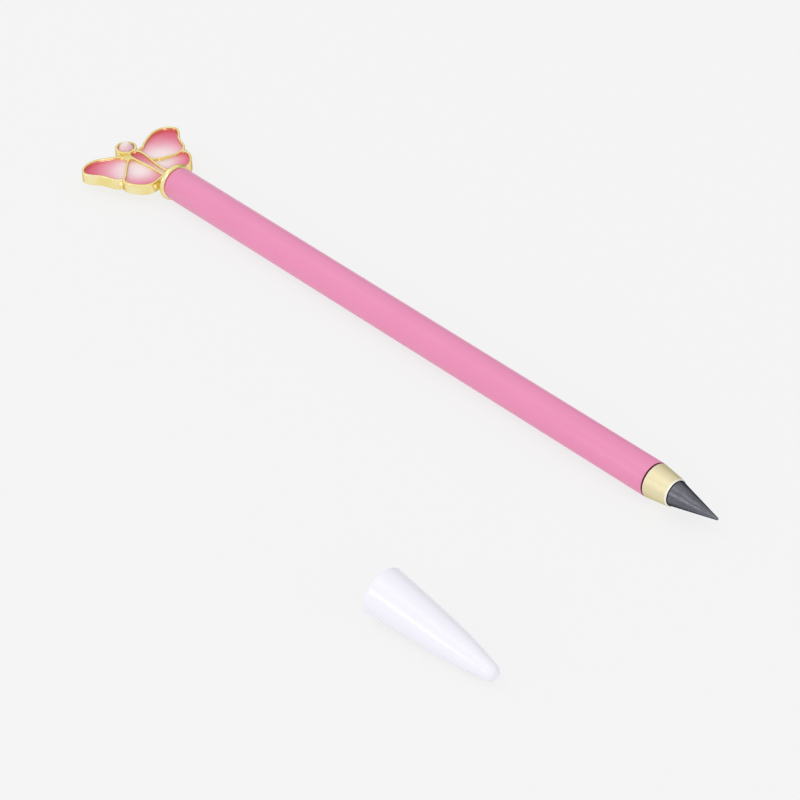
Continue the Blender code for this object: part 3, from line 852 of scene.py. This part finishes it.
SETTING_PLACE = -16.6 * MM
SETTING_RADIUS = 2.6 * MM
SETTING_BORE = 2.0 * MM
SETTING_TOP = CHARM_TOP + 0.1 * MM
SETTING_FLOOR = CHARM_TOP - 0.9 * MM
SETTING_BACK = CHARM_BACK + 0.1 * MM
RECESS_TOP = 3.0 * MM  # well above the setting
UPRIGHT = Matrix.Rotation(-math.pi / 2, 4, "Y")
setting_upright = Matrix.Translation((SETTING_PLACE, 0, 0)) @ UPRIGHT
setting = turned(
    "setting",
    [(SETTING_TOP, 0), (SETTING_TOP, SETTING_RADIUS), (SETTING_BACK, SETTING_RADIUS), (SETTING_BACK, 0)],
    setting_upright,
    96,
)
round_edges(setting, RIM_ROUNDING, 4)
join_solid(butterfly, setting)

charm_stem = turned(
    "charm_stem",
    [
        (-NECK_ROOT, 0),
        (-NECK_ROOT, NECK_RADIUS),
        (NECK_LENGTH, NECK_RADIUS),
        (NECK_LENGTH, CHARM_STEM_RADIUS),
        (NECK_LENGTH + CHARM_STEM_LENGTH, CHARM_STEM_RADIUS),
        (NECK_LENGTH + CHARM_STEM_LENGTH, 0),
    ],
    Matrix.Rotation(-CHARM_TILT, 4, "X"),
    64,
)
join_solid(butterfly, charm_stem)

BEADS = ((-6.35, 9.60, 0.7), (0, 4.45, 0.6))  # in mm: along, out and radius, for the notch and the tail
for along, out, radius in BEADS:
    for side in (-1, 1):
        bead_stations = [(radius * MM, 0)]
        for step in range(1, 16):
            angle = math.pi * step / 16
            bead_stations.append((radius * MM * math.cos(angle), radius * MM * math.sin(angle)))
        bead_stations.append((-radius * MM, 0))
        bead_place = Matrix.Translation((along * MM, side * out * MM, 0))
        bead = turned("bead", bead_stations, bead_place @ UPRIGHT, 32)
        join_solid(butterfly, bead)

recess = turned(
    "recess",
    [(SETTING_FLOOR, 0), (SETTING_FLOOR, SETTING_BORE), (RECESS_TOP, SETTING_BORE), (RECESS_TOP, 0)],
    setting_upright,
    96,
)
join_solid(butterfly, recess, "DIFFERENCE")
smooth(butterfly)
settle(butterfly, CHARM)
put_on(butterfly, gold, "pencil", "charm_frame")

# ---------------------------------------------------------------------------
# Enamels: soft enamel, a tinted resin poured into each cell and cured. It climbs a little at the walls
# and is airbrushed from nearly white at the body to pink at the edges.
# ---------------------------------------------------------------------------

ENAMEL_FLOOR = PLATE_TOP + 0.1 * MM
ENAMEL_CLIMB = 0.12 * MM
HIDDEN_EDGE = 0.05 * MM  # how far the resin's edge runs into the rims
SPRAY_DRIFT = 1.2 * MM  # how far the airbrush strays, so that its colours don't run in true circles


def enamel_material(name, centre, reach, colours):
    """Glossy cured resin whose colours run outwards from a centre, given as (share of reach, hex)."""
    made, shader = start_material(name, Roughness=0.1, IOR=1.5, Coat_Weight=0.3, Coat_Roughness=0.04)
    made_at = add_node(made, "ShaderNodeTexCoord").outputs["Object"]
    drift = add_node(made, "ShaderNodeTexNoise", {"Vector": made_at, "Scale": 260.0, "Detail": 1.0})
    moved = add_node(
        made,
        "ShaderNodeVectorMath",
        {0: drift.outputs["Color"], 1: (0.5, 0.5, 0.5)},
        operation="SUBTRACT",
    )
    small = add_node(
        made, "ShaderNodeVectorMath", {0: moved.outputs["Vector"], "Scale": SPRAY_DRIFT}, operation="SCALE"
    )
    shifted = add_node(
        made, "ShaderNodeVectorMath", {0: made_at, 1: small.outputs["Vector"]}, operation="ADD"
    )
    near = add_node(
        made,
        "ShaderNodeMapping",
        {
            "Vector": shifted.outputs["Vector"],
            "Location": CHARM @ Vector(centre),
            "Scale": (reach, reach, reach),
        },
        vector_type="TEXTURE",
    )
    away = add_node(
        made, "ShaderNodeTexGradient", {"Vector": near.outputs["Vector"]}, gradient_type="SPHERICAL"
    )
    inwards = [(1 - share, code) for share, code in sorted(colours, reverse=True)]
    ramp = add_node(made, "ShaderNodeValToRGB", {"Fac": away.outputs["Fac"]}, inwards)
    ramp.color_ramp.interpolation = "B_SPLINE"
    feed(made, shader, Base_Color=ramp.outputs["Color"])
    return made


def enamel(cell, centre, reach, colours, climb_width):
    """Pours one cell: up from its floor, then down the hollow curve that the resin climbs the walls in."""
    levels = [(0, ENAMEL_FLOOR), (0, ENAMEL_TOP + ENAMEL_CLIMB)]
    for share in (0.3, 0.55, 0.8, 1.0):
        levels.append((HIDDEN_EDGE + share * climb_width, ENAMEL_TOP + ENAMEL_CLIMB * (1 - share) ** 2))
    # A flat band follows, so that the middle shades flat
    levels.append((HIDDEN_EDGE + 1.3 * climb_width, ENAMEL_TOP))
    piece = stacked(cell + "_resin", [(soft_cells[cell], HIDDEN_EDGE - RIM_WIDTH / 2, -1)], levels)
    smooth(piece, 50)
    settle(piece, CHARM)
    material = enamel_material(cell + "_soft_enamel", centre, reach, colours)
    put_on(piece, material, "pencil", cell + "_enamel")


WING_COLOURS = (
    (0.0, "FBEBED"),
    (0.27, "F8DDE2"),
    (0.45, "F1B2C1"),
    (0.65, "E97F9B"),
    (0.85, "DE5174"),
    (1.0, "D44063"),
)
BODY_COLOURS = ((0.0, "FCEBEC"), (0.3, "F8D5DA"), (0.55, "EE9DB0"), (0.8, "E0708E"), (1.0, "CF446C"))

# In mm: where each cell's colours start, how far they run, and how wide a band of its resin climbs
POURS = (
    ("near_forewing", "wing_enamel", (-8.8, -4.4), 11.2, WING_COLOURS, 0.4),
    ("near_hindwing", "wing_enamel", (-8.0, -2.8), 9.6, WING_COLOURS, 0.4),
    ("far_forewing", "wing_enamel", (-8.6, 4.0), 11.4, WING_COLOURS, 0.4),
    ("far_hindwing", "wing_enamel", (-7.0, 2.5), 8.5, WING_COLOURS, 0.4),
    ("body", "body_enamel", (-0.5, 0), 13.8, BODY_COLOURS, 0.25),
)
for cell, slot, (along, out), reach, colours, climb_width in POURS:
    enamel(cell, (along * MM, out * MM, 0), reach * MM, colours, climb_width * MM)

# ---------------------------------------------------------------------------
# Crystal: a flat-backed pink glass stone, cut with eight crown facets under a small table and glued
# into the round setting.
# ---------------------------------------------------------------------------

CRYSTAL_RADIUS = 1.9 * MM
CRYSTAL_BASE_RADIUS = 1.5 * MM
CRYSTAL_TABLE_RADIUS = 0.75 * MM
CRYSTAL_BASE = SETTING_FLOOR + 0.1 * MM
CRYSTAL_GIRDLE = CRYSTAL_BASE + 0.5 * MM
CRYSTAL_GIRDLE_TOP = CRYSTAL_GIRDLE + 0.2 * MM
CRYSTAL_TOP = CRYSTAL_GIRDLE_TOP + 1.4 * MM
CRYSTAL_FACETS = 8
CROWN_BREAK = 0.6  # how far up the crown its lower facets end
CRYSTAL_FADE = 2.2 * MM  # from the middle of its table to where it is pinkest
bpy.ops.object.select_all(action="DESELECT")
bpy.ops.mesh.primitive_cylinder_add(
    vertices=CRYSTAL_FACETS,
    radius=CRYSTAL_RADIUS,
    depth=CRYSTAL_TOP - CRYSTAL_BASE,
    location=(0, 0, (CRYSTAL_TOP + CRYSTAL_BASE) / 2),
    rotation=(0, 0, math.pi / CRYSTAL_FACETS),
)
crystal = start_piece("cut_crystal")
bpy.ops.object.mode_set(mode="EDIT")
crown_middle = (CRYSTAL_RADIUS + CRYSTAL_TABLE_RADIUS) / 2
crown_middle_height = CRYSTAL_GIRDLE_TOP + CROWN_BREAK * (CRYSTAL_TOP - CRYSTAL_GIRDLE_TOP)
flat = math.cos(math.pi / CRYSTAL_FACETS)
for number in range(CRYSTAL_FACETS):
    # Four cuts for each side: the crown's lower and upper facets, the narrow one at their corner, and
    # the slant below the girdle. The crown's are set a few hundredths in or out, so that each one shows.
    main_angle = math.tau * number / CRYSTAL_FACETS
    star_angle = main_angle + math.pi / CRYSTAL_FACETS
    cuts = (
        (main_angle, CRYSTAL_RADIUS * flat, CRYSTAL_GIRDLE_TOP, crown_middle * 0.97, crown_middle_height),
        (main_angle, crown_middle * 0.95, crown_middle_height, CRYSTAL_TABLE_RADIUS * flat, CRYSTAL_TOP),
        (star_angle, CRYSTAL_RADIUS, CRYSTAL_GIRDLE_TOP, CRYSTAL_TABLE_RADIUS * 1.02, CRYSTAL_TOP),
        (main_angle, CRYSTAL_RADIUS * flat, CRYSTAL_GIRDLE, CRYSTAL_BASE_RADIUS * flat, CRYSTAL_BASE),
    )
    for angle, radius, height, radius_beyond, height_beyond in cuts:
        outward = Vector((math.cos(angle), math.sin(angle), 0))
        along = outward * (radius_beyond - radius) + Vector((0, 0, height_beyond - height))
        across = Vector((-math.sin(angle), math.cos(angle), 0))
        normal = along.cross(across)
        if normal.dot(outward) < 0:
            normal = -normal
        bpy.ops.mesh.select_all(action="SELECT")
        bpy.ops.mesh.bisect(
            plane_co=outward * radius + Vector((0, 0, height)),
            plane_no=normal,
            use_fill=True,
            clear_outer=True,
            threshold=0.0001 * MM,
        )
bpy.ops.mesh.select_all(action="SELECT")
bpy.ops.mesh.remove_doubles(threshold=0.002 * MM)
face_outwards()
settle(crystal, CHARM @ Matrix.Translation((SETTING_PLACE, 0, 0)))

# Cut glass, tinted pale pink, on a foiled back. The light that the foil throws up through the stone is
# painted into its colour, a painted reflection: warm white in the middle and pink at the girdle, over
# nearly solid glass.
glass, glass_shader = start_material("pink_cut_glass", Roughness=0.03, IOR=1.54, Transmission_Weight=0.12)
glass_at = add_node(glass, "ShaderNodeTexCoord").outputs["Object"]
glass_middle = add_node(
    glass,
    "ShaderNodeMapping",
    {
        "Vector": glass_at,
        "Location": CHARM @ Vector((SETTING_PLACE, 0, CRYSTAL_TOP)),
        "Scale": (CRYSTAL_FADE, CRYSTAL_FADE, CRYSTAL_FADE),
    },
    vector_type="TEXTURE",
)
# Painted reflection: warm white at the table's middle, fading to pink towards the girdle.
glass_painted_reflection = add_node(
    glass, "ShaderNodeTexGradient", {"Vector": glass_middle.outputs["Vector"]}, gradient_type="SPHERICAL"
)
glass_colour = add_node(
    glass,
    "ShaderNodeValToRGB",
    {"Fac": glass_painted_reflection.outputs["Fac"]},
    ((0.0, "F9C2D0"), (0.4, "FDDCE4"), (0.7, "FFF0EC"), (1.0, "FEF4DA")),
)
feed(glass, glass_shader, Base_Color=glass_colour.outputs["Color"])
put_on(crystal, glass, "pencil", "crystal")

# ---------------------------------------------------------------------------
# Cap: a tapered push-on cap with a round nose, moulded in glossy white ABS. It lies on its side by the
# pencil, and its bore grips the barrel when it is on.
# ---------------------------------------------------------------------------

CAP_LENGTH = 32.0 * MM
CAP_MOUTH_RADIUS = 5.45 * MM
CAP_TAPER = 2.4 * MM
CAP_NOSE_RADIUS = 1.9 * MM
CAP_WALL = 1.1 * MM
CAP_NOSE_WALL = 1.6 * MM
CAP_GRIP_RADIUS = 4.1 * MM
CAP_GRIP_LENGTH = 5.0 * MM
CAP_BALANCE = 0.42  # the share of the way to the nose where it touches the table
CAP_MOUTH_EDGE = 0.2 * MM
CAP_LEAD_IN = 0.1 * MM
CAP_STEPS = 36
CAP_BORE_STEP = 7  # the first of these steps that is past the grip
CAP_BEHIND = 9.0 * MM  # from the barrel's front back to the cap's mouth
CAP_ASIDE = 67.1 * MM  # from the barrel's middle
CAP_TURN = math.radians(2.0)
cap_straight = CAP_LENGTH - CAP_NOSE_RADIUS
cap_loss = CAP_MOUTH_RADIUS - CAP_NOSE_RADIUS


def cap_radius(share):
    """The cap's outer radius at a share of the way from its mouth to where its nose begins."""
    return CAP_MOUTH_RADIUS - CAP_TAPER * share - (cap_loss - CAP_TAPER) * share**4


cap_stations = [(CAP_LENGTH, 0)]
for step in range(1, 16):
    angle = math.pi / 2 * step / 16
    forward = cap_straight + CAP_NOSE_RADIUS * math.cos(angle)
    cap_stations.append((forward, CAP_NOSE_RADIUS * math.sin(angle)))
for step in range(CAP_STEPS, 0, -1):
    cap_stations.append((cap_straight * step / CAP_STEPS, cap_radius(step / CAP_STEPS)))
for step in range(5):
    angle = math.pi / 2 * step / 4
    inward = CAP_MOUTH_EDGE * (1 - math.cos(angle))
    cap_stations.append((CAP_MOUTH_EDGE * (1 - math.sin(angle)), CAP_MOUTH_RADIUS - inward))
cap_stations += [
    (0, CAP_GRIP_RADIUS + CAP_LEAD_IN),
    (CAP_LEAD_IN, CAP_GRIP_RADIUS),
    (CAP_GRIP_LENGTH, CAP_GRIP_RADIUS),
]
for step in range(CAP_BORE_STEP, CAP_STEPS + 1):
    bore = min(CAP_GRIP_RADIUS, cap_radius(step / CAP_STEPS) - CAP_WALL)
    cap_stations.append((cap_straight * step / CAP_STEPS, bore))
cap_stations.append((CAP_LENGTH - CAP_NOSE_WALL, 0))
cap_slope = (CAP_TAPER + 4 * (cap_loss - CAP_TAPER) * CAP_BALANCE**3) / cap_straight
cap_lean = math.atan(cap_slope)
cap_rise = CAP_BALANCE * cap_straight * math.sin(cap_lean)
cap_height = cap_radius(CAP_BALANCE) * math.cos(cap_lean) + cap_rise
CAP_PLACE = (
    Matrix.Translation((barrel_high.x - CAP_BEHIND, AXIS_Y - CAP_ASIDE, cap_height))
    @ Matrix.Rotation(CAP_TURN, 4, "Z")
    @ Matrix.Rotation(cap_lean, 4, "Y")
)
cap = turned("moulded_cap", cap_stations, CAP_PLACE)
smooth(cap)

# Injection-moulded ABS, polished tool: bright white with a faint lilac cast and a clear gloss. The
# faintest waviness, about 4 mm across, keeps its reflections from being drawn with a ruler.
white_abs, white_abs_shader = start_material("glossy_white_abs", IOR=1.53)
white_abs_at = add_node(white_abs, "ShaderNodeTexCoord").outputs["Object"]
white_abs_noise = add_node(
    white_abs, "ShaderNodeTexNoise", {"Vector": white_abs_at, "Scale": 240.0, "Detail": 1.0}
)
white_abs_waves = white_abs_noise.outputs["Fac"]
white_abs_colour = add_node(
    white_abs, "ShaderNodeValToRGB", {"Fac": white_abs_waves}, ((0.0, "F2F1FA"), (1.0, "F4F3FC"))
)
white_abs_gloss = add_node(
    white_abs, "ShaderNodeMapRange", {"Value": white_abs_waves, "To Min": 0.2, "To Max": 0.26}
)
white_abs_bump = add_node(
    white_abs, "ShaderNodeBump", {"Height": white_abs_waves, "Strength": 0.05, "Distance": 0.05 * MM}
)
feed(
    white_abs,
    white_abs_shader,
    Base_Color=white_abs_colour.outputs["Color"],
    Roughness=white_abs_gloss.outputs["Result"],
    Normal=white_abs_bump.outputs["Normal"],
)
put_on(cap, white_abs, "cap", "cap")

# ---------------------------------------------------------------------------
# Floor, light and camera: a pale table top under a soft room, brighter in front than behind, with a long
# lamp overhead, a small one at the side and a soft box in front, and a long lens at the photograph's angle.
# ---------------------------------------------------------------------------

BACKGROUND = linear("F5F5F5")
bpy.ops.object.select_all(action="DESELECT")
bpy.ops.mesh.primitive_plane_add(size=16.0)
floor = start_piece("table_top")
table_white, table_shader = start_material("matt_white_table", Base_Color=BACKGROUND, Roughness=1.0)
table_shader.inputs["Specular IOR Level"].default_value = 0.0
TABLE_GLOW = 0.85  # how much of the table that is looked at is an even glow, which keeps its shadows faint
table_rays = add_node(table_white, "ShaderNodeLightPath")
table_seen = add_node(
    table_white,
    "ShaderNodeMath",
    {0: table_rays.outputs["Is Camera Ray"], 1: table_rays.outputs["Is Glossy Ray"]},
    operation="MAXIMUM",
)
table_through = add_node(
    table_white,
    "ShaderNodeMath",
    {0: table_seen.outputs["Value"], 1: table_rays.outputs["Is Transmission Ray"]},
    operation="MAXIMUM",
)
table_share = add_node(
    table_white, "ShaderNodeMath", {0: table_through.outputs["Value"], 1: TABLE_GLOW}, operation="MULTIPLY"
)
table_glow = add_node(table_white, "ShaderNodeEmission", {"Color": BACKGROUND})
table_mix = add_node(
    table_white,
    "ShaderNodeMixShader",
    {0: table_share.outputs["Value"], 1: table_shader.outputs["BSDF"], 2: table_glow.outputs["Emission"]},
)
table_output = table_white.node_tree.nodes["Material Output"]
table_white.node_tree.links.new(table_mix.outputs["Shader"], table_output.inputs["Surface"])
floor.data.materials.append(table_white)

ROOM_LIGHT = 0.87
ROOM_FRONT = (0.0, -0.55, 0.83)  # the way to the room's brightest part, in front and above
ROOM_LEVELS = ((0.2, 0.34), (0.45, 0.68), (0.58, 0.98), (0.85, 1.0))  # from its far side to that part
room =bpy.data.worlds.new("soft_room")
bpy.context.scene.world = room
room.use_nodes = True
room.node_tree.nodes.clear()
room_coords = add_node(room, "ShaderNodeTexCoord")
room_facing = add_node(
    room,
    "ShaderNodeVectorMath",
    {0: room_coords.outputs["Generated"], 1: ROOM_FRONT},
    operation="DOT_PRODUCT",
)
room_share = add_node(room, "ShaderNodeMapRange", {"Value": room_facing.outputs["Value"], "From Min": -1.0})
room_level = add_node(
    room,
    "ShaderNodeValToRGB",
    {"Fac": room_share.outputs["Result"]},
    [(share, (level, level, level, 1.0)) for share, level in ROOM_LEVELS],
)
room_glow = add_node(
    room, "ShaderNodeBackground", {"Color": room_level.outputs["Color"], "Strength": ROOM_LIGHT}
)
room_wall = add_node(room, "ShaderNodeBackground", {"Color": BACKGROUND, "Strength": 1.0})
room_rays = add_node(room, "ShaderNodeLightPath")
room_seen = add_node(
    room,
    "ShaderNodeMath",
    {0: room_rays.outputs["Is Camera Ray"], 1: room_rays.outputs["Is Transmission Ray"]},
    operation="MAXIMUM",
)
room_mix = add_node(
    room,
    "ShaderNodeMixShader",
    {0: room_seen.outputs["Value"], 1: room_glow.outputs["Background"], 2: room_wall.outputs["Background"]},
)
add_node(room, "ShaderNodeOutputWorld", {"Surface": room_mix.outputs["Shader"]})

LAMPS = (
    ("overhead_lamp", (-1.46, -0.95, 3.0), (0, 0, 0), 5.0, 1.2, 14.0),
    ("side_lamp", (1.7, -0.75, 0.95), (0, 62, -24), 0.5, 0.5, 3.0),
    ("front_softbox", (-0.3, -1.45, 0.56), (70, 0, -14), 0.5, 0.4, 1.6),
)
for name, place, degrees, length, width, power in LAMPS:
    turns = [math.radians(angle) for angle in degrees]
    bpy.ops.object.light_add(type="AREA", location=place, rotation=turns)
    lamp = bpy.context.object
    lamp.name = name
    lamp.data.shape = "RECTANGLE"
    lamp.data.size = length
    lamp.data.size_y = width
    lamp.data.energy = power

LOOK_AT = Vector((barrel_high.x - 60.44 * MM, AXIS_Y - 16.18 * MM, 0.5 * MM))
CAMERA_TILT = (math.radians(54.70), 0, math.radians(48.02))
CAMERA_DISTANCE = 0.7521
CAMERA_LENS = 157.3
bpy.ops.object.camera_add(rotation=CAMERA_TILT)
camera = bpy.context.object
camera.name = "camera"
bpy.context.view_layer.update()
camera.location = LOOK_AT + camera.matrix_world.to_3x3() @ Vector((0, 0, CAMERA_DISTANCE))
camera.data.sensor_width = 36.0
camera.data.lens = CAMERA_LENS
bpy.context.scene.camera = camera
bpy.context.scene.view_settings.view_transform = "Standard"
